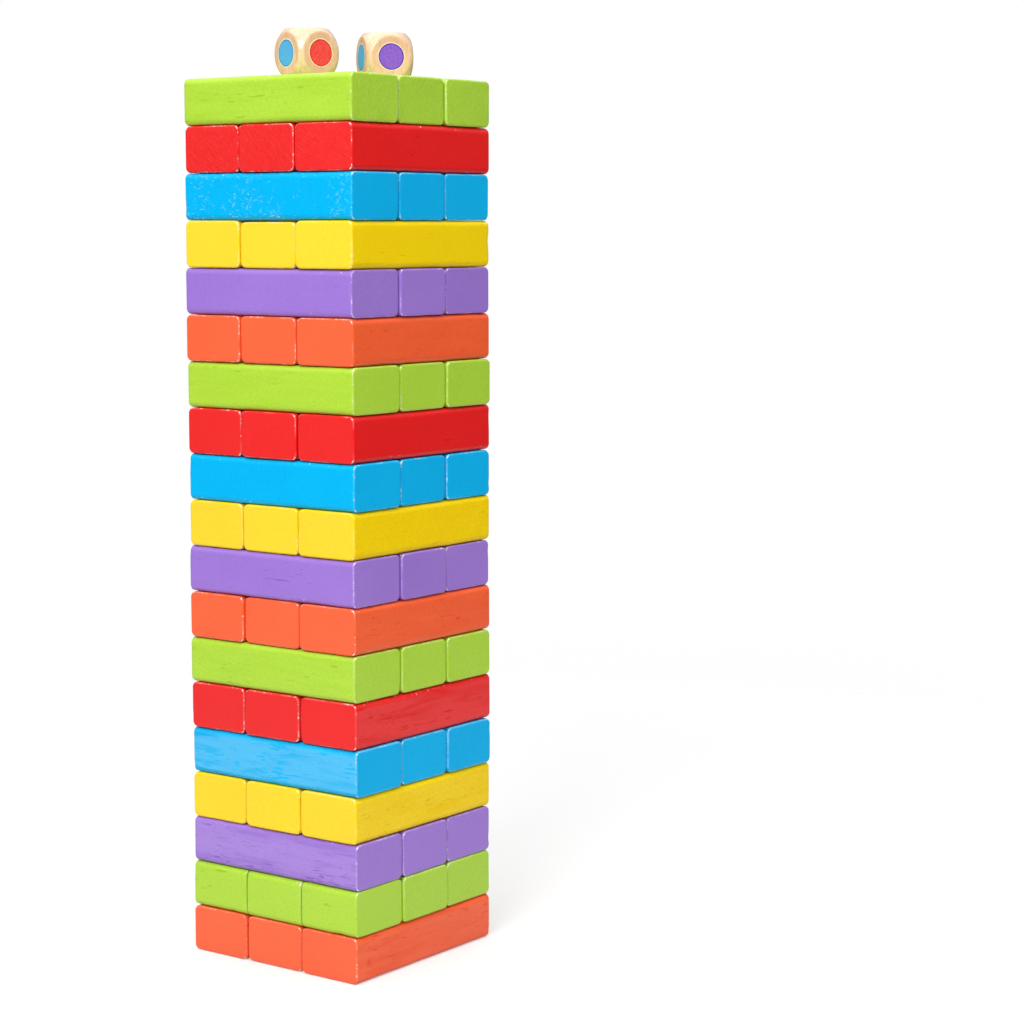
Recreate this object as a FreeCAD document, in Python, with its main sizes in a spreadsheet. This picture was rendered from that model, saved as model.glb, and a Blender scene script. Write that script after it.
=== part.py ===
"""Wooden tumbling tower: nineteen courses of painted blocks, with two colour dice resting on top.

The tower stands on Z = 0, centred on the Z axis. Courses are numbered from the table up. In a course whose blocks
run along X they are front (-Y), middle and back (+Y); where they run along Y they are left (-X), middle and right
(+X). Sizes are in millimetres and angles in degrees.
"""

import FreeCAD, Part
import Sketcher
import math
import os

SIZES = {
    "block_length": 70.0,
    "block_width": 23.2,
    "block_height": 15.0,
    "block_gap": 0.2,  # free space between two blocks of a course
    "long_edge_radius": 1.9,
    "end_edge_radius": 0.7,
    "stacking_play": 0.25,  # how far a hand leaves a block out of line
    "die_size": 16.0,
    "die_ball_diameter": 20.9,  # the ball that a die's edges and corners are turned to
}

# Colour of each course and the axis that its blocks run along, from the table up.
COURSES = [
    ("orange", "y"), ("green", "x"), ("purple", "x"), ("yellow", "y"), ("blue", "x"),
    ("red", "y"), ("green", "x"), ("orange", "y"), ("purple", "x"), ("yellow", "y"),
    ("blue", "x"), ("red", "y"), ("green", "x"), ("orange", "y"), ("purple", "x"),
    ("yellow", "y"), ("blue", "x"), ("red", "y"), ("green", "x"),
]
SHORT_ROW_COURSE = 2  # its front row is three square blocks in line
ROWS = {"x": ("front", "middle", "back"), "y": ("left", "middle", "right")}

# Where each die stands on the top course, and how far it is turned about Z.
DICE = {"die_front": (-5.7, -8.4, 75.3), "die_back": (2.2, 21.3, 55.0)}

GOLDEN_ANGLE = math.pi * (3 - math.sqrt(5))  # spreads the blocks' small misplacements evenly
UP = FreeCAD.Vector(0, 0, 1)


def make_sheet(doc):
    """The spreadsheet that every size is read from."""
    sheet = doc.addObject("Spreadsheet::Sheet", "dimensions")
    for row, (alias, value) in enumerate(SIZES.items(), start=1):
        sheet.set(f"A{row}", alias)
        sheet.set(f"B{row}", str(value))
        sheet.setAlias(f"B{row}", alias)
    doc.recompute()


def end_section(body):
    """A block's cross-section, a rectangle centred on the body's X axis."""
    sketch = body.newObject("Sketcher::SketchObject", "section")
    plane = next(f for f in body.Origin.OriginFeatures if f.Role == "YZ_Plane")
    sketch.AttachmentSupport = [(plane, "")]
    sketch.MapMode = "FlatFace"
    corners = [FreeCAD.Vector(x, y, 0) for x, y in ((-9, -6), (9, -6), (9, 6), (-9, 6))]
    for i in range(4):
        sketch.addGeometry(Part.LineSegment(corners[i], corners[(i + 1) % 4]), False)
    for i in range(4):
        sketch.addConstraint(Sketcher.Constraint("Coincident", i, 2, (i + 1) % 4, 1))
        sketch.addConstraint(Sketcher.Constraint("Horizontal" if i % 2 == 0 else "Vertical", i))
    sketch.addConstraint(Sketcher.Constraint("Symmetric", 0, 1, 2, 1, -1, 1))
    for name, kind, line in (("width", "DistanceX", 0), ("height", "DistanceY", 1)):
        index = sketch.addConstraint(Sketcher.Constraint(kind, line, 1, line, 2, 10.0))
        sketch.renameConstraint(index, name)
        sketch.setExpression(f"Constraints.{name}", f"dimensions.block_{name}")
    return sketch


def rounding(doc, body, base, edges, radius):
    """Rounds the given edges of the base feature."""
    fillet = body.newObject("PartDesign::Fillet", "rounding")
    fillet.Base = (base, edges)
    fillet.setExpression("Radius", radius)
    doc.recompute()
    return fillet


def block(doc, label, length):
    """One block, centred on its body's origin, with its length along X."""
    body = doc.addObject("PartDesign::Body", label)
    body.Label = label
    pad = body.newObject("PartDesign::Pad", "length")
    pad.Profile = end_section(body)
    pad.SideType = "Symmetric"
    pad.setExpression("Length", length)
    doc.recompute()
    long_edges = [
        f"Edge{i}" for i, edge in enumerate(pad.Shape.Edges, start=1)
        if abs(edge.tangentAt(edge.FirstParameter).x) > 0.9
    ]
    rounded = rounding(doc, body, pad, long_edges, "dimensions.long_edge_radius")
    end_edges = [
        f"Edge{i}" for i, edge in enumerate(rounded.Shape.Edges, start=1)
        if edge.BoundBox.XLength < 1e-6
    ]
    rounding(doc, body, rounded, end_edges, "dimensions.end_edge_radius")
    return body


def place(body, number, row, axis, step=0):
    """Puts a block in row -1, 0 or 1 of a course, and step short blocks along that row."""
    slip = math.sin(GOLDEN_ANGLE * (3 * number + row))
    drift = math.cos(GOLDEN_ANGLE * number) / 2
    pitch = "(dimensions.block_width + dimensions.block_gap)"
    across = f"{pitch} * {row} + dimensions.stacking_play * {drift:.3f}"
    lengthways = f"{pitch} * {step} + dimensions.stacking_play * {slip:.3f}"
    if axis == "y":
        body.Placement.Rotation = FreeCAD.Rotation(UP, 90)
    x, y = (lengthways, across) if axis == "x" else (across, lengthways)
    body.setExpression(".Placement.Base.x", x)
    body.setExpression(".Placement.Base.y", y)
    body.setExpression(".Placement.Base.z", f"dimensions.block_height * {number - 0.5}")


def short_row(doc, label, number, axis):
    """Three square blocks in line, in place of one long block in a course's front row."""
    pieces = []
    for step in (-1, 0, 1):
        pieces.append(block(doc, f"{label}_{step + 2}", "dimensions.block_width"))
        place(pieces[-1], number, -1, axis, step)
    row = doc.addObject("Part::Compound", label)
    row.Label = label
    row.Links = pieces
    return row


def course(doc, number, colour, axis):
    """The sub-parts of one course, three rows side by side."""
    made = []
    for row, side in zip((-1, 0, 1), ROWS[axis]):
        label = f"course_{number:02d}_{colour}_{side}"
        if number == SHORT_ROW_COURSE and row == -1:
            made.append(short_row(doc, f"{label}_short_blocks", number, axis))
        else:
            made.append(block(doc, label, "dimensions.block_length"))
            place(made[-1], number, row, axis)
    return made


def die(doc, label, x, y, turn):
    """A cube whose edges and corners are turned to a ball, standing on the top course."""
    cube = doc.addObject("Part::Box", f"{label}_cube")
    for side in ("Length", "Width", "Height"):
        cube.setExpression(side, "dimensions.die_size")
    for direction in "xyz":
        cube.setExpression(f".Placement.Base.{direction}", "-dimensions.die_size / 2")
    ball = doc.addObject("Part::Sphere", f"{label}_ball")
    ball.setExpression("Radius", "dimensions.die_ball_diameter / 2")
    turned = doc.addObject("Part::Common", label)
    turned.Label = label
    turned.Base, turned.Tool = cube, ball
    turned.Placement = FreeCAD.Placement(FreeCAD.Vector(x, y, 0), FreeCAD.Rotation(UP, turn))
    turned.setExpression(
        ".Placement.Base.z", f"dimensions.block_height * {len(COURSES)} + dimensions.die_size / 2"
    )
    return turned


def check(doc, parts):
    """Stops if any object failed to compute, or a sub-part has no valid closed solid."""
    for obj in doc.Objects:
        if "Invalid" in obj.State or "Error" in obj.State:
            raise RuntimeError(f"{obj.Label} did not compute: {obj.State}")
    for part in parts:
        if part.Shape.isNull() or not part.Shape.isValid() or not part.Shape.Solids:
            raise RuntimeError(f"{part.Label} has no valid solid")


def main():
    doc = FreeCAD.newDocument("tumbling_tower")
    make_sheet(doc)
    parts = []
    for number, (colour, axis) in enumerate(COURSES, start=1):
        parts += course(doc, number, colour, axis)
    parts += [die(doc, label, *spot) for label, spot in DICE.items()]
    doc.recompute()
    check(doc, parts)
    os.makedirs("parts", exist_ok=True)
    for part in parts:
        part.Shape.exportStep(os.path.join("parts", f"{part.Label}.step"))
        print(part.Label, round(part.Shape.Volume), len(part.Shape.Solids))


main()
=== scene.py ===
"""Looks for the tumbling tower: painted hardwood blocks with worn edges, and two varnished colour dice.

Every block and die is a mesh that replaces its CAD node. Lengths are in metres unless a name ends in _mm.
"""

import math

import bmesh
import bpy
import numpy as np
from mathutils import Matrix, Vector, noise


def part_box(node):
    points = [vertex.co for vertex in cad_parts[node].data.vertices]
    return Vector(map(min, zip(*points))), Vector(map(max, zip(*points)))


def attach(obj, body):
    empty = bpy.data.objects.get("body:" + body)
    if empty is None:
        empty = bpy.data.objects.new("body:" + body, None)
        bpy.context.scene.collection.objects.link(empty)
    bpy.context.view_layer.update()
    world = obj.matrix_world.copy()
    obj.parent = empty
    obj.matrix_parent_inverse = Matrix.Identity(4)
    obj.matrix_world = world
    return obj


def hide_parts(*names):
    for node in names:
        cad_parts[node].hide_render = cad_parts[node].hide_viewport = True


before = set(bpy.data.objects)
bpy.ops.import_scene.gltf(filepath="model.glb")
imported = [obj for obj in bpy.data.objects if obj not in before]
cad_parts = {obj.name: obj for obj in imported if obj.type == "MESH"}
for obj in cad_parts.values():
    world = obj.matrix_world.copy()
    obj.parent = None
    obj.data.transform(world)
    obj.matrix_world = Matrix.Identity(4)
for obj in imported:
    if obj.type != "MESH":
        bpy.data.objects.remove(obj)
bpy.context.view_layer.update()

MM = 0.001

# ---- block shape ----
SKIN = 0.03 * MM  # how far a block's surface stays inside its CAD box
LONG_EDGE_RADIUS = 1.9 * MM
END_EDGE_RADIUS = 0.7 * MM
MIN_EDGE_RADIUS = 0.25 * MM
ARC_STEPS = 6
END_ARC_STEPS = 4
STATION_STEP = 1.1 * MM
CAP_SCALES = (0.96, 0.86, 0.68, 0.46, 0.22)
FLAT_FRACTIONS = (0.02, 0.16, 0.39, 0.61, 0.84, 0.98)
EDGE_UNEVENNESS = 0.16
WAVINESS = 0.02 * MM

# ---- die shape ----
DIE_BALL_RADIUS = 10.45 * MM
DIE_CUTS = 55
RIDGE_SOFTNESS = 0.45 * MM
NECK_BLEND = 0.5 * MM
DOT_RADIUS = 4.3 * MM
DOT_RIM = 0.28 * MM
WOOD_INSET = 0.06 * MM  # the wood stays this far inside the die's CAD box, which leaves room for the dots
DOT_STEPS = 72
DOT_ZONES = (1, 1, 1, 2, 0, 0)  # the material of each ring of a dot, from outside: rim, deep paint, paint

# Opposite faces of a die, by its own X, Y and Z.
DIE_COLOURS = {
    "die_front": {"-x": "blue", "+x": "green", "-y": "red", "+y": "purple", "+z": "yellow", "-z": "orange"},
    "die_back": {"-x": "blue", "+x": "green", "-y": "purple", "+y": "red", "+z": "orange", "-z": "yellow"},
}
DIE_TURNS = {"die_front": 75.3, "die_back": 55.0}

# ---- paint ----
PAINTS = {
    "orange": (0.98, 0.128, 0.030),
    "green": (0.445, 0.70, 0.045),
    "purple": (0.36, 0.20, 0.67),
    "yellow": (1.0, 0.68, 0.002),
    "blue": (0.0, 0.48, 0.87),
    "red": (0.84, 0.007, 0.007),
}
GLOSS = {"blue": 0.12, "yellow": 0.10, "red": 0.32, "orange": 0.35, "purple": 0.40, "green": 0.45}
PALE_ENDS_AND_PAINTED_LIGHT = {"yellow": 0.033, "orange": 0.02, "red": 0.013, "purple": 0.008}  # share of white on the ends: partly paler end-grain paint, partly painted light that lightens the brightly lit faces where most of these courses show their ends
SUNK_BLUE = (0.0, 0.46, 0.90)  # blue paint keeps its brightness where it has sunk into a pore
BARE_WOOD = (0.80, 0.66, 0.47)
WHITE = (1.0, 1.0, 1.0)

# The dots on the dice are stamped in slightly different inks.
DOT_PAINTS = {
    **PAINTS,
    "blue": (0.075, 0.40, 0.82),
    "red": (0.90, 0.045, 0.045),
    "purple": (0.24, 0.085, 0.62),
}

# How strongly a course's long faces show pores, and how scuffed they are: 0 to 1.
PORES = {1: 0.6, 3: 0.8, 4: 0.6, 5: 1.0, 6: 0.7, 7: 0.4, 8: 0.4, 13: 0.3, 14: 0.25, 19: 0.4}
PORES_ELSEWHERE = 0.06
SCUFFS = {17: 1.0, 18: 0.25, 12: 0.15, 11: 0.15}
SCUFFS_ELSEWHERE = 0.0
SAW_MARKS = {19: 1.0, 18: 1.0, 17: 0.6, 13: 0.6, 7: 0.7}
SAW_MARKS_ELSEWHERE = 0.4
SCRATCH_SLANTS = (0.15, 0.9, -0.55)
LOW_BLOCKS = {"course_16_yellow_middle": 0.4 * MM}  # how far a loose block's top lies below its course's

# ---- studio ----
FLOOR_RADIUS = 0.75
FLOOR_FULL = 0.28  # the sheet fades out from here to its edge
FLOOR_SHOWN = 0.65  # how much of the sheet shows against the white surround
HORIZON_LIGHT = 0.20
ZENITH_LIGHT = 0.74
LIT_MIDDLE = (0.0, 0.0, 0.25)  # where the softboxes point
KEY_PLACE = (0.20, -0.65, 0.70)
KEY_SIZE = 0.4
KEY_POWER = 4.9
FILL_PLACE = (0.75, -0.25, 0.60)
FILL_SIZE = 0.5
FILL_POWER = 1.0
SPARKLE_PLACE = (0.62, -0.62, 0.80)  # this lamp shows only in reflections
SPARKLE_SIZE = 0.1
SPARKLE_POWER = 2.5
OVERHEAD_PLACE = (0.0, 0.0, 1.3)
OVERHEAD_SIZE = 1.6
OVERHEAD_POWER = 9.2
CAMERA_PLACE = (0.530408, -0.623427, 0.237770)
CAMERA_TARGET = (0.045184, 0.033380, 0.144998)
CAMERA_LENS = 88.0  # in millimetres, on a sensor 36 mm wide


# ---------------------------------------------------------------- shader nodes
class Shader:
    """A material's node tree, with short ways to add what the materials here need."""

    def __init__(self, name):
        self.material = bpy.data.materials.new(name)
        self.material.use_nodes = True
        self.tree = self.material.node_tree
        self.tree.nodes.clear()
        self.surface = self.node("ShaderNodeBsdfPrincipled")
        output = self.node("ShaderNodeOutputMaterial")
        self.tree.links.new(self.surface.outputs["BSDF"], output.inputs["Surface"])

    def node(self, kind, **settings):
        made = self.tree.nodes.new(kind)
        for name, value in settings.items():
            setattr(made, name, value)
        return made

    def feed(self, socket, value):
        """Puts a number, a colour or another node's output into a socket."""
        if isinstance(value, bpy.types.NodeSocket):
            self.tree.links.new(value, socket)
        else:
            socket.default_value = value

    def math(self, operation, *values):
        made = self.node("ShaderNodeMath", operation=operation)
        for socket, value in zip(made.inputs, values):
            self.feed(socket, value)
        return made.outputs[0]

    def times(self, a, b):
        return self.math("MULTIPLY", a, b)

    def plus(self, a, b):
        return self.math("ADD", a, b)

    def minus(self, a, b):
        return self.math("SUBTRACT", a, b)

    def step(self, value, low, high, out_low=0.0, out_high=1.0):
        """Runs smoothly from out_low to out_high as value goes from low to high."""
        made = self.node("ShaderNodeMapRange", interpolation_type="SMOOTHSTEP")
        for name, number in zip(("Value", "From Min", "From Max", "To Min", "To Max"),
                                (value, low, high, out_low, out_high)):
            self.feed(made.inputs[name], number)
        return made.outputs["Result"]

    def mix(self, factor, a, b, blend="MIX"):
        made = self.node("ShaderNodeMix", data_type="RGBA", blend_type=blend)
        self.feed(made.inputs["Factor"], factor)
        for name, value in (("A", a), ("B", b)):
            socket = next(s for s in made.inputs if s.name == name and s.type == "RGBA")
            self.feed(socket, value if isinstance(value, bpy.types.NodeSocket) else (*value, 1.0))
        return next(s for s in made.outputs if s.type == "RGBA")

    def attribute(self, name):
        return self.node("ShaderNodeAttribute", attribute_name=name).outputs["Vector"]

    def split(self, vector):
        made = self.node("ShaderNodeSeparateXYZ")
        self.feed(made.inputs[0], vector)
        return made.outputs

    def stretched(self, vector, scale, turn=(0.0, 0.0, 0.0)):
        made = self.node("ShaderNodeMapping")
        self.feed(made.inputs["Vector"], vector)
        made.inputs["Rotation"].default_value = turn
        made.inputs["Scale"].default_value = scale
        return made.outputs[0]

    def noise(self, vector, scale=1.0, detail=2.0, roughness=0.5, distortion=0.0):
        made = self.node("ShaderNodeTexNoise")
        self.feed(made.inputs["Vector"], vector)
        for name, value in (("Scale", scale), ("Detail", detail), ("Roughness", roughness),
                            ("Distortion", distortion)):
            made.inputs[name].default_value = value
        return made.outputs["Fac"]

    def bump(self, height, distance, strength=1.0, below=None):
        made = self.node("ShaderNodeBump")
        made.inputs["Distance"].default_value = distance
        made.inputs["Strength"].default_value = strength
        self.feed(made.inputs["Height"], height)
        if below is not None:
            self.feed(made.inputs["Normal"], below)
        return made.outputs[0]

    def finish(self, **values):
        for name, value in values.items():
            socket = self.surface.inputs[name.replace("_", " ").title().replace("Ior", "IOR")]
            self.feed(socket, value)
        return self.material


def tint(colour, factor):
    """The colour made darker (factor under 1) or lighter."""
    return tuple(min(1.0, c * factor) for c in colour)


def deeper(colour):
    """The colour where the same paint lies thicker."""
    return tuple(0.87 * c ** 1.35 for c in colour)


def towards(colour, other, share):
    """The colour with this share of the other one mixed in."""
    return tuple(a + (b - a) * share for a, b in zip(colour, other))


class BlockPaint(Shader):
    """Satin paint over open-pored wood: thin and chipped on the edges, fibrous on the ends."""

    def __init__(self, name, colour):
        super().__init__(f"paint_{name}")
        self.name = name
        self.colour = colour
        self.pale = towards(colour, WHITE, 0.16)
        self.grain = self.attribute("grain")
        from_end, from_side, self.ridge = self.split(self.attribute("edge"))
        self.pores, self.scuffs, self.tone = self.split(self.attribute("look"))
        self.saw_marks = self.split(self.attribute("ends"))[0]
        self.cap = self.step(from_side, 0.25, 0.8)
        self.side = self.minus(1.0, self.cap)
        self.flat = self.times(self.side, self.minus(1.0, self.ridge))
        self.rim = self.math("MAXIMUM", from_end, from_side)
        self.cloud = self.noise(self.grain, 50.0, 2.0)
        self.streak = self.noise(self.stretched(self.grain, (38, 330, 330)), 1.0, 3.0, 0.6, 0.3)
        self.base = self.coat()

    def cover(self, share, colour):
        """Lays a colour over what is there already."""
        self.base = self.mix(share, self.base, colour)

    def coat(self):
        """The coat's broad unevenness, with streaks of thicker and thinner paint along the grain."""
        figure = self.times(self.times(self.minus(self.streak, 0.5), self.side), self.pores)
        level = self.plus(self.times(self.minus(self.cloud, 0.5), 0.12),
                          self.plus(self.times(figure, 0.8), self.times(self.tone, 0.03)))
        base = self.mix(self.step(level, -0.30, 0.30), towards(self.colour, deeper(self.colour), 0.55),
                        tint(self.colour, 1.10))
        thin = self.times(self.step(self.streak, 0.25, 0.55),
                          self.times(self.math("POWER", self.pores, 3.0), self.flat))
        base = self.mix(self.times(thin, 0.55), base, self.pale)
        speckle = self.step(self.noise(self.grain, 1900.0, 3.0, 0.7), 0.3, 0.7)
        return self.mix(1.0, base, self.mix(speckle, (0.92, 0.92, 0.92), (1.05, 1.05, 1.05)), "MULTIPLY")

    def add_pores(self):
        """Short dashes along the grain where the paint has sunk in, gathered in patches."""
        dashes = self.noise(self.stretched(self.grain, (165, 1250, 1250)), 1.0, 1.0, 0.35, 0.45)
        fine_dashes = self.noise(self.stretched(self.grain, (330, 3000, 3000)), 1.0, 1.0, 0.35)
        patches = self.noise(self.stretched(self.grain, (45, 170, 170)), 1.0, 2.0)
        limit = self.plus(self.step(patches, 0.36, 0.62, 0.72, 0.585),
                          self.step(self.pores, 0.0, 1.0, 0.13, 0.0))
        dash = self.math("MAXIMUM", self.step(self.minus(dashes, limit), 0.0, 0.035),
                         self.step(self.minus(fine_dashes, limit), 0.04, 0.08))
        dash = self.times(dash, self.side)
        sunk = SUNK_BLUE if self.name == "blue" else deeper(self.colour)
        self.cover(self.times(dash, 0.85), sunk)
        return dash

    def add_saw_marks(self):
        """End grain: slightly paler, partly as painted light on the lit faces, with fine slanted strokes
        left by the saw.
        """
        # painted light and paint: the ends are whitened a little, which also lightens the lit front-left
        # faces of the courses that show their ends there
        self.cover(self.times(self.cap, PALE_ENDS_AND_PAINTED_LIGHT.get(self.name, 0.0)), WHITE)
        slanted = self.node("ShaderNodeVectorRotate", rotation_type="X_AXIS")
        self.feed(slanted.inputs["Vector"], self.grain)
        self.feed(slanted.inputs["Angle"], self.plus(self.times(self.tone, 0.25), 0.75))
        strokes = self.noise(self.stretched(slanted.outputs[0], (300, 2100, 430)), 1.0, 3.0, 0.6, 0.5)
        fibres = self.times(self.minus(strokes, 0.5), self.times(self.cap, self.saw_marks))
        self.cover(self.step(fibres, 0.04, 0.24, 0.0, 0.16), self.pale)
        self.cover(self.step(fibres, -0.24, -0.04, 0.45, 0.0), deeper(self.colour))
        return fibres

    def add_wear_and_painted_highlights(self):
        """A thin pale line round each end, and pale corners: both partly paint worn thin and partly painted
        highlight where the rounded edges would catch the light. Gives back the chips on all edges.
        """
        chips = self.noise(self.grain, 1100.0, 2.0, 0.6)
        broad = self.noise(self.grain, 130.0, 1.0)
        near_rim = self.step(self.rim, 0.10, 0.62, 1.0, 0.0)
        # painted highlight and wear: a thin pale line along each end's rounded rim
        rim_wear_and_painted_highlight = self.times(near_rim, self.step(broad, 0.38, 0.66, 0.02, 0.42))
        self.cover(rim_wear_and_painted_highlight, towards(self.colour, WHITE, 0.35))
        rim_chip = self.plus(chips, self.times(near_rim, self.step(broad, 0.34, 0.60, 0.0, 0.16)))
        ridge_chip = self.plus(chips, self.times(self.ridge, self.step(broad, 0.45, 0.70, 0.0, 0.10)))
        chip = self.math("MAXIMUM", self.times(self.step(rim_chip, 0.68, 0.73), near_rim),
                         self.times(self.step(ridge_chip, 0.73, 0.77), self.ridge))
        # painted highlight and wear: nearly white corners stand in for the glints a small lamp leaves on the
        # rounded corners
        corner = self.plus(self.times(self.step(self.rim, 0.2, 0.75, 1.0, 0.0), self.ridge),
                           self.times(self.minus(chips, 0.5), 1.4))
        self.cover(self.step(corner, 0.72, 0.95, 0.0, 0.85), towards(self.colour, WHITE, 0.8))
        return chip

    def add_scratches(self):
        """Short thin strokes at several slants, in patches, on the long faces of a scuffed course."""
        patch = self.noise(self.grain, 75.0, 1.0)
        limit = self.plus(self.step(patch, 0.36, 0.62, 0.77, 0.695),
                          self.step(self.scuffs, 0.0, 1.0, 0.22, 0.0))
        found = 0.0
        for slant in SCRATCH_SLANTS:
            turned = self.stretched(self.grain, (1, 1, 1), (0, slant, 0))
            strokes = self.noise(self.stretched(turned, (340, 2500, 2500)), 1.0, 0.0, 0.5, 0.15)
            found = self.math("MAXIMUM", found, self.step(self.minus(strokes, limit), 0.0, 0.09))
        rub = self.times(found, self.side)
        self.cover(self.times(rub, 0.40), towards(self.colour, WHITE, 0.38))
        return rub

    def done(self, dash, fibres, chip, rub):
        """The finished material. Its roughness stays above 0.28, so that it is denoised as matt."""
        roughness = self.plus(self.step(self.cloud, 0.3, 0.7, 0.285, 0.345),
                              self.plus(self.times(chip, 0.25), self.times(self.cap, 0.05)))
        peel = self.bump(self.noise(self.grain, 1300.0, 3.0, 0.6), 0.016 * MM)
        grain_height = self.times(self.streak, self.times(self.side, 0.5))
        relief = self.bump(self.minus(grain_height, dash), 0.03 * MM, 0.7, peel)
        relief = self.bump(fibres, 0.17 * MM, 1.0, relief)
        relief = self.bump(self.times(self.math("MAXIMUM", chip, rub), -1.0), 0.05 * MM, 0.7, relief)
        return self.finish(base_color=self.base, roughness=roughness, normal=relief,
                           specular_ior_level=GLOSS[self.name])


def paint_material(name, colour):
    """A course's paint, with its marks laid on one after another."""
    s = BlockPaint(name, colour)
    dash = s.add_pores()
    fibres = s.add_saw_marks()
    chip = s.add_wear_and_painted_highlights()
    rub = s.add_scratches()
    s.cover(chip, towards(BARE_WOOD, WHITE, 0.35))
    return s.done(dash, fibres, chip, rub)


def die_wood_material():
    """Pale varnished wood with fine vertical grain and small brown flecks."""
    s = Shader("natural_wood")
    grain = s.attribute("grain")
    rings = s.noise(s.stretched(grain, (90, 420, 90)), 1.0, 3.0, 0.6, 0.4)
    lines = s.noise(s.stretched(grain, (1900, 1900, 130)), 1.0, 3.0, 0.6)
    flecks = s.noise(s.stretched(grain, (2600, 2600, 420)), 1.0, 1.0)
    neck = s.split(s.attribute("neck"))[0]
    flat = s.mix(s.step(rings, 0.3, 0.7), (0.76, 0.43, 0.27), (0.87, 0.54, 0.36))
    curved = s.mix(s.step(rings, 0.3, 0.7), (0.83, 0.54, 0.36), (0.95, 0.67, 0.48))
    base = s.mix(neck, flat, curved)
    base = s.mix(s.step(lines, 0.42, 0.72, 0.0, 0.6), base, (0.68, 0.37, 0.21))
    base = s.mix(s.step(flecks, 0.64, 0.74, 0.0, 0.5), base, (0.50, 0.26, 0.12))
    normal = s.bump(lines, 0.02 * MM, 0.6)
    varnish = s.math("MULTIPLY_ADD", neck, 0.7, 0.3)
    return s.finish(base_color=base, roughness=s.step(lines, 0.3, 0.7, 0.34, 0.46), normal=normal,
                    specular_ior_level=0.25, coat_weight=varnish, coat_roughness=0.10)


def dot_material(name, colour):
    """Paint stamped on a die: even, with faint speckle and the wood's lines showing through."""
    s = Shader(f"dot_{name}")
    grain = s.attribute("grain")
    speckle = s.noise(grain, 2600.0, 2.0)
    lines = s.noise(s.stretched(grain, (1900, 1900, 130)), 1.0, 3.0, 0.6)
    base = s.mix(s.step(speckle, 0.35, 0.65), tint(colour, 0.94), towards(colour, WHITE, 0.05))
    normal = s.bump(lines, 0.015 * MM, 0.5)
    return s.finish(base_color=base, roughness=s.step(speckle, 0.3, 0.7, 0.34, 0.44), normal=normal,
                    specular_ior_level=0.12)


def dot_rim_material():
    """The thin pale ring of clear varnish round each dot."""
    s = Shader("dot_rim")
    grain = s.attribute("grain")
    cloud = s.noise(grain, 1200.0, 2.0)
    base = s.mix(s.step(cloud, 0.35, 0.65), (0.88, 0.74, 0.48), (0.97, 0.88, 0.66))
    return s.finish(base_color=base, roughness=s.step(cloud, 0.3, 0.7, 0.30, 0.38),
                    normal=s.bump(cloud, 0.01 * MM, 0.5), specular_ior_level=0.2)


def floor_material():
    """A plain matt white sheet that fades out towards its edge."""
    s = Shader("studio_floor")
    place = s.node("ShaderNodeTexCoord").outputs["Object"]
    away = s.node("ShaderNodeVectorMath", operation="LENGTH")
    s.feed(away.inputs[0], place)
    cloud = s.noise(place, 6.0, 2.0)
    base = s.mix(cloud, (0.90, 0.90, 0.90), (0.93, 0.93, 0.93))
    shown = s.step(away.outputs["Value"], FLOOR_FULL, 0.95 * FLOOR_RADIUS, FLOOR_SHOWN, 0.0)
    return s.finish(base_color=base, roughness=0.85, alpha=shown)


# ---------------------------------------------------------------- meshes
def add_piece(name, bm, materials):
    """Makes an object of a bmesh, smooth-shaded, with the given materials."""
    mesh = bpy.data.meshes.new(name)
    bmesh.ops.recalc_face_normals(bm, faces=bm.faces)
    bm.to_mesh(mesh)
    bm.free()
    mesh.polygons.foreach_set("use_smooth", [True] * len(mesh.polygons))
    for material in materials:
        mesh.materials.append(material)
    piece = bpy.data.objects.new(name, mesh)
    bpy.context.scene.collection.objects.link(piece)
    return piece


def outline(width, height, radii):
    """A rounded rectangle as points (y, z, ridge): ridge is 1 in a corner's middle, 0 on the flats."""
    points = []
    for corner, radius in enumerate(radii):
        sy = (1, -1, -1, 1)[corner]
        sz = (1, 1, -1, -1)[corner]
        cy, cz = sy * (width / 2 - radius), sz * (height / 2 - radius)
        for i in range(ARC_STEPS + 1):
            angle = math.radians(90 * corner + 90 * i / ARC_STEPS)
            ridge = math.sin(math.pi * i / ARC_STEPS)
            points.append((cy + radius * math.cos(angle), cz + radius * math.sin(angle), ridge))
    loop = []
    for i, point in enumerate(points):
        loop.append(point)
        if i % (ARC_STEPS + 1) == ARC_STEPS:
            after = points[(i + 1) % len(points)]
            for share in FLAT_FRACTIONS:
                loop.append((point[0] + (after[0] - point[0]) * share,
                             point[1] + (after[1] - point[1]) * share, 0.0))
    return np.array(loop)


def stations(length):
    """Where a block's rings of points lie, from one end's middle to the other's: (x, inset, scale)."""
    half = length / 2
    rings = [(-half, END_EDGE_RADIUS, scale) for scale in reversed(CAP_SCALES)]
    for i in range(END_ARC_STEPS + 1):
        angle = math.pi / 2 * i / END_ARC_STEPS
        x = -half + END_EDGE_RADIUS * (1 - math.cos(angle))
        rings.append((x, END_EDGE_RADIUS * (1 - math.sin(angle)), 1.0))
    run = length - 2 * END_EDGE_RADIUS
    steps = round(run / STATION_STEP)
    middle = [(-run / 2 + run * i / steps, 0.0, 1.0) for i in range(1, steps)]
    return rings + middle + [(-x, inset, scale) for x, inset, scale in reversed(rings)]


def wobble(points, frequency, shift):
    """Smooth noise at each point, from -1 to 1."""
    return np.array([noise.noise(Vector(p) * frequency + shift) for p in points])


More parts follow.
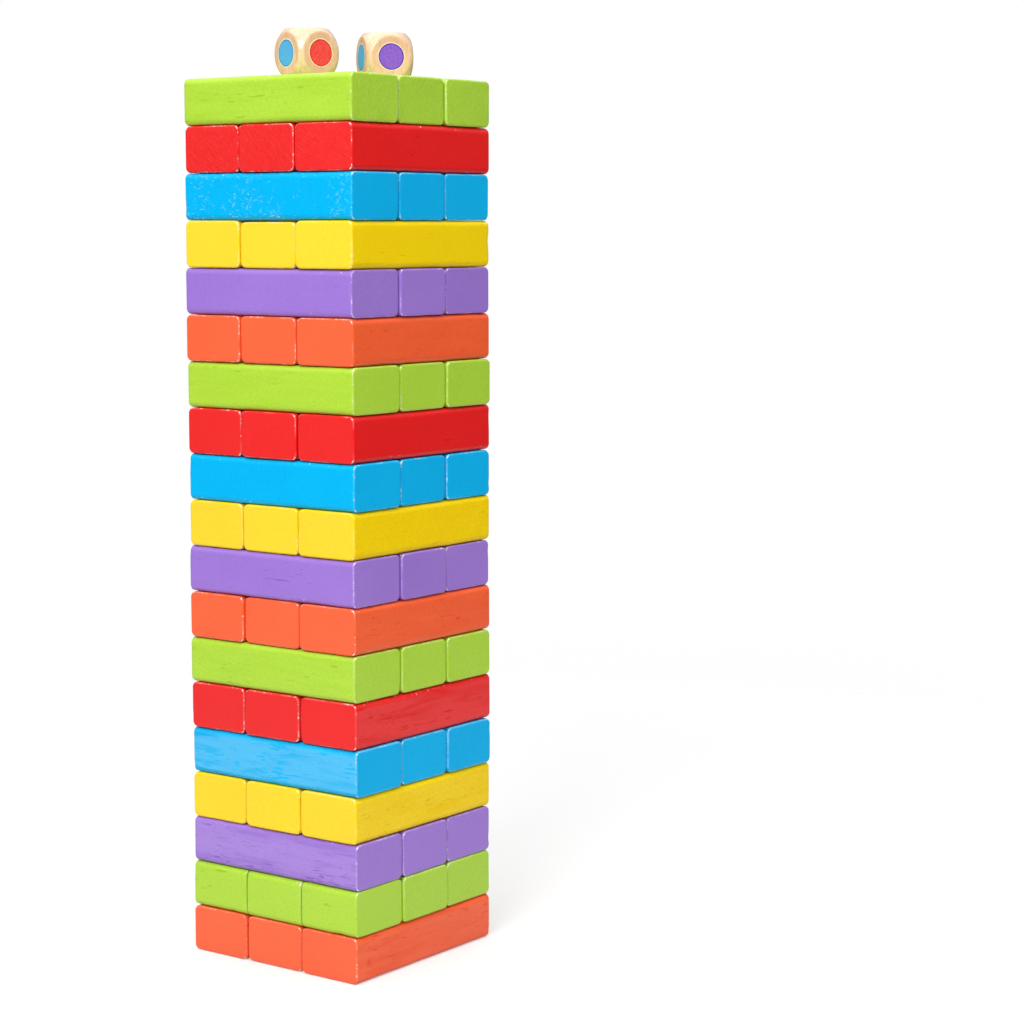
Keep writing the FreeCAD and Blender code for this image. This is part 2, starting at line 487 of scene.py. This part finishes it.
def block_points(length, width, height, rng):
    """A block's rings of points, and the edge attribute at each point."""
    rows, edges = [], []
    shift = Vector(rng.uniform(-50, 50, 3))
    for x, inset, scale in stations(length):
        uneven = [noise.noise(Vector((x * 70, 9.0 * corner, 0)) + shift) for corner in range(4)]
        eased = [LONG_EDGE_RADIUS * (1 + EDGE_UNEVENNESS * u) - inset for u in uneven]
        radii = [max(MIN_EDGE_RADIUS, radius) for radius in eased]
        loop = outline(width - 2 * inset, height - 2 * inset, radii)
        row = np.column_stack([np.full(len(loop), x), loop[:, 0] * scale, loop[:, 1] * scale])
        rows.append(row)
        from_side = inset + (1 - scale) * height / 2
        edges.append(np.column_stack([np.full(len(loop), (length / 2 - abs(x)) / MM),
                                      np.full(len(loop), from_side / MM),
                                      loop[:, 2] * (1 if scale == 1 else 0)]))
    points = np.concatenate(rows)
    dented = dent(points, length, width, height, rng)
    dented *= 1 + (WAVINESS / (height / 2)) * (wobble(points, 55.0, shift)[:, None] - 1)
    return dented, np.concatenate(edges), len(rows)


def dent(points, length, width, height, rng):
    """Presses a few shallow dents into a block's edges."""
    moved = points.copy()
    for _ in range(rng.integers(4, 8)):
        on_end = rng.random() < 0.5
        spot = np.array([rng.choice([-1, 1]) * length / 2 if on_end else rng.uniform(-0.5, 0.5) * length,
                         rng.choice([-1, 1]) * width / 2,
                         rng.choice([-1, 1]) * height / 2])
        if on_end:
            spot[1 + rng.integers(2)] *= rng.uniform(-1, 1)
        reach = rng.uniform(0.9, 1.8) * MM
        depth = rng.uniform(0.08, 0.22) * MM
        distance = np.linalg.norm(points - spot, axis=1) - 0.4 * MM
        weight = np.exp(-((np.maximum(distance, 0) / reach) ** 2))
        inward = -spot / np.linalg.norm(spot)
        moved += weight[:, None] * depth * inward
    return moved


def add_block(bm, layers, middle, size, turned, look, saw_marks, rng):
    """Adds one block to a bmesh, with its length along X, or along Y if turned."""
    length, width, height = size
    points, edges, ring_count = block_points(length - 2 * SKIN, width - 2 * SKIN, height - 2 * SKIN, rng)
    offset = rng.uniform(-4, 4, 3)
    per_ring = len(points) // ring_count
    verts = []
    for (x, y, z), edge in zip(points, edges):
        spot = Vector((-y, x, z)) if turned else Vector((x, y, z))
        vert = bm.verts.new(spot + middle)
        vert[layers["grain"]] = Vector((x, y, z)) + Vector(offset)
        vert[layers["edge"]] = Vector(edge)
        vert[layers["look"]] = Vector(look)
        vert[layers["ends"]] = Vector((saw_marks, 0, 0))
        verts.append(vert)
    for ring in range(ring_count - 1):
        for i in range(per_ring):
            j = (i + 1) % per_ring
            a, b = ring * per_ring, (ring + 1) * per_ring
            bm.faces.new((verts[a + i], verts[a + j], verts[b + j], verts[b + i]))
    for ring in (0, ring_count - 1):
        rim = verts[ring * per_ring:(ring + 1) * per_ring]
        centre = bm.verts.new(sum((v.co for v in rim), Vector()) / per_ring)
        for layer in layers.values():
            centre[layer] = sum((v[layer] for v in rim), Vector()) / per_ring
        for i in range(per_ring):
            bm.faces.new((rim[i], rim[(i + 1) % per_ring], centre))


def course_piece(node, number, colour, materials, seed):
    """The visible mesh of one CAD node of a course."""
    low, high = (Vector(corner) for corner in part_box(node))
    high.z -= LOW_BLOCKS.get(node, 0)
    size = high - low
    turned = size.y > size.x
    length, width = (size.y, size.x) if turned else (size.x, size.y)
    rng = np.random.default_rng(seed)
    look = (PORES.get(number, PORES_ELSEWHERE), SCUFFS.get(number, SCUFFS_ELSEWHERE), rng.uniform(-1, 1))
    saw_marks = SAW_MARKS.get(number, SAW_MARKS_ELSEWHERE)
    bm = bmesh.new()
    layers = {name: bm.verts.layers.float_vector.new(name) for name in ("grain", "edge", "look", "ends")}
    middle = (low + high) / 2
    if node.endswith("short_blocks"):
        pitch = (length - width) / 2
        for step in (-1, 0, 1):
            add_block(bm, layers, middle + Vector((pitch * step, 0, 0)), (width, width, size.z), False, look,
                      saw_marks, rng)
    else:
        add_block(bm, layers, middle, (length, width, size.z), turned, look, saw_marks, rng)
    return add_piece(f"painted_{node}", bm, [materials[colour]])


def die_piece(node, wood, offset):
    """A cube turned to a ball at its edges and corners, with the ridges between them softened."""
    low, high = (Vector(corner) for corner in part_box(node))
    half = (high.z - low.z) / 2 - WOOD_INSET
    ball = DIE_BALL_RADIUS - WOOD_INSET
    place = Matrix.Translation((low + high) / 2) @ Matrix.Rotation(math.radians(DIE_TURNS[node]), 4, "Z")
    bm = bmesh.new()
    bmesh.ops.create_cube(bm, size=2.0)
    bmesh.ops.subdivide_edges(bm, edges=bm.edges, cuts=DIE_CUTS, use_grid_fill=True)
    layer = bm.verts.layers.float_vector.new("grain")
    neck_layer = bm.verts.layers.float_vector.new("neck")
    for vert in bm.verts:
        way = Vector([math.tan(c * math.pi / 4) for c in vert.co]).normalized()
        to_cube = half / max(abs(c) for c in way)
        overlap = max(0.0, 1 - abs(to_cube - ball) / RIDGE_SOFTNESS)
        reach = min(to_cube, ball) - RIDGE_SOFTNESS * overlap ** 3 / 6
        vert[layer] = way * reach + offset
        vert[neck_layer] = Vector((min(1.0, max(0.0, (to_cube - ball) / NECK_BLEND + 0.5)), 0, 0))
        vert.co = place @ (way * reach)
    piece = add_piece(f"wood_{node}", bm, [wood])
    return piece, place, half


def dot_piece(node, face, colour, place, half, offset, materials):
    """A round painted dot with a thin raised rim, on the face of a die that looks along +x, -x and so on."""
    way = Vector([(1 if face[0] == "+" else -1) if axis == face[1] else 0 for axis in "xyz"])
    across = Vector((0, 0, 1)) if face[1] != "z" else Vector((1, 0, 0))
    beside = way.cross(across)
    profile = [
        (DOT_RADIUS + DOT_RIM, -0.02 * MM),
        (DOT_RADIUS + 0.75 * DOT_RIM, 0.025 * MM),
        (DOT_RADIUS + 0.4 * DOT_RIM, 0.035 * MM),
        (DOT_RADIUS, 0.02 * MM),
        (0.90 * DOT_RADIUS, 0.03 * MM),
        (0.7 * DOT_RADIUS, 0.03 * MM),
        (0.35 * DOT_RADIUS, 0.03 * MM),
    ]
    bm = bmesh.new()
    layer = bm.verts.layers.float_vector.new("grain")

    def point(radius, height, angle):
        spot = way * (half + height) + (across * math.cos(angle) + beside * math.sin(angle)) * radius
        vert = bm.verts.new(place @ spot)
        vert[layer] = spot + offset
        return vert

    rings = [[point(r, h, 2 * math.pi * i / DOT_STEPS) for i in range(DOT_STEPS)] for r, h in profile]
    centre = point(0, profile[-1][1], 0)
    back = point(0, profile[0][1], 0)
    for k, (outer, inner) in enumerate(zip(rings, rings[1:])):
        for i in range(DOT_STEPS):
            j = (i + 1) % DOT_STEPS
            face_made = bm.faces.new((outer[i], outer[j], inner[j], inner[i]))
            face_made.material_index = DOT_ZONES[k]
    for i in range(DOT_STEPS):
        j = (i + 1) % DOT_STEPS
        bm.faces.new((rings[-1][i], rings[-1][j], centre))
        bm.faces.new((rings[0][j], rings[0][i], back))
    return add_piece(f"dot_{node}_{colour}", bm, materials)


# ---------------------------------------------------------------- build
def build_courses(materials):
    """A painted mesh for every node of the courses."""
    seed = 100
    for node in sorted(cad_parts):
        if node.startswith("course"):
            number, colour = node.split("_")[1:3]
            piece = course_piece(node, int(number), colour, materials, seed)
            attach(piece, node)
            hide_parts(node)
            seed += 1


def build_dice():
    """Two dice, each a piece of wood with six dots."""
    wood = die_wood_material()
    rim = dot_rim_material()
    dots = {name: dot_material(name, colour) for name, colour in DOT_PAINTS.items()}
    edges = {name: dot_material(f"{name}_edge", deeper(colour)) for name, colour in DOT_PAINTS.items()}
    for node, faces in DIE_COLOURS.items():
        offset = Vector((2.0, 1.0, 3.0)) * (1 + len(node))
        piece, place, half = die_piece(node, wood, offset)
        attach(piece, node)
        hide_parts(node)
        for face, colour in faces.items():
            dot = dot_piece(node, face, colour, place, half, offset, [dots[colour], rim, edges[colour]])
            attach(dot, node)


def build_floor():
    """A round white sheet under the tower."""
    bm = bmesh.new()
    bmesh.ops.create_circle(bm, cap_ends=True, segments=128, radius=FLOOR_RADIUS)
    floor = add_piece("studio_floor", bm, [floor_material()])


def add_softbox(name, place, size, power, target=LIT_MIDDLE):
    """A square area light that points at the target."""
    light = bpy.data.lights.new(name, "AREA")
    light.shape = "SQUARE"
    light.size = size
    light.energy = power
    lamp = bpy.data.objects.new(name, light)
    lamp.location = place
    lamp.rotation_euler = (Vector(target) - Vector(place)).to_track_quat("-Z", "Y").to_euler()
    bpy.context.scene.collection.objects.link(lamp)
    return lamp


def build_surround():
    """A white surround for the camera, and a dimmer one, lighter overhead, that lights the object."""
    scene = bpy.context.scene
    scene.view_settings.view_transform = "Standard"
    world = bpy.data.worlds.new("studio")
    world.use_nodes = True
    scene.world = world
    tree = world.node_tree
    surround = tree.nodes["Background"]
    direction = tree.nodes.new("ShaderNodeTexCoord")
    height = tree.nodes.new("ShaderNodeSeparateXYZ")
    sky = tree.nodes.new("ShaderNodeMapRange")
    sky.inputs["From Max"].default_value = 0.7
    sky.inputs["To Min"].default_value = HORIZON_LIGHT
    sky.inputs["To Max"].default_value = ZENITH_LIGHT
    seen = tree.nodes.new("ShaderNodeLightPath")
    strength = tree.nodes.new("ShaderNodeMix")
    tree.links.new(direction.outputs["Generated"], height.inputs[0])
    tree.links.new(height.outputs["Z"], sky.inputs["Value"])
    tree.links.new(seen.outputs["Is Camera Ray"], strength.inputs["Factor"])
    tree.links.new(sky.outputs["Result"], strength.inputs["A"])
    strength.inputs["B"].default_value = 1.0
    tree.links.new(strength.outputs["Result"], surround.inputs["Strength"])
    surround.inputs["Color"].default_value = (1, 1, 1, 1)


def build_lamps():
    """Soft light from the front left, the right and above, and a small lamp for highlights."""
    add_softbox("key", KEY_PLACE, KEY_SIZE, KEY_POWER)
    add_softbox("fill", FILL_PLACE, FILL_SIZE, FILL_POWER)
    sparkle = add_softbox("sparkle", SPARKLE_PLACE, SPARKLE_SIZE, SPARKLE_POWER)
    sparkle.visible_diffuse = False
    add_softbox("overhead", OVERHEAD_PLACE, OVERHEAD_SIZE, OVERHEAD_POWER, (0, 0, 0))


def build_camera():
    """The photo's angle, on the tower's front corner."""
    camera = bpy.data.cameras.new("camera")
    camera.sensor_width = 36.0
    camera.lens = CAMERA_LENS
    view = bpy.data.objects.new("camera", camera)
    view.location = CAMERA_PLACE
    view.rotation_euler = (Vector(CAMERA_TARGET) - Vector(CAMERA_PLACE)).to_track_quat("-Z", "Y").to_euler()
    bpy.context.scene.collection.objects.link(view)
    bpy.context.scene.camera = view


paints = {name: paint_material(name, colour) for name, colour in PAINTS.items()}
build_courses(paints)
build_dice()
build_floor()
build_surround()
build_lamps()
build_camera()

bpy.context.view_layer.update()
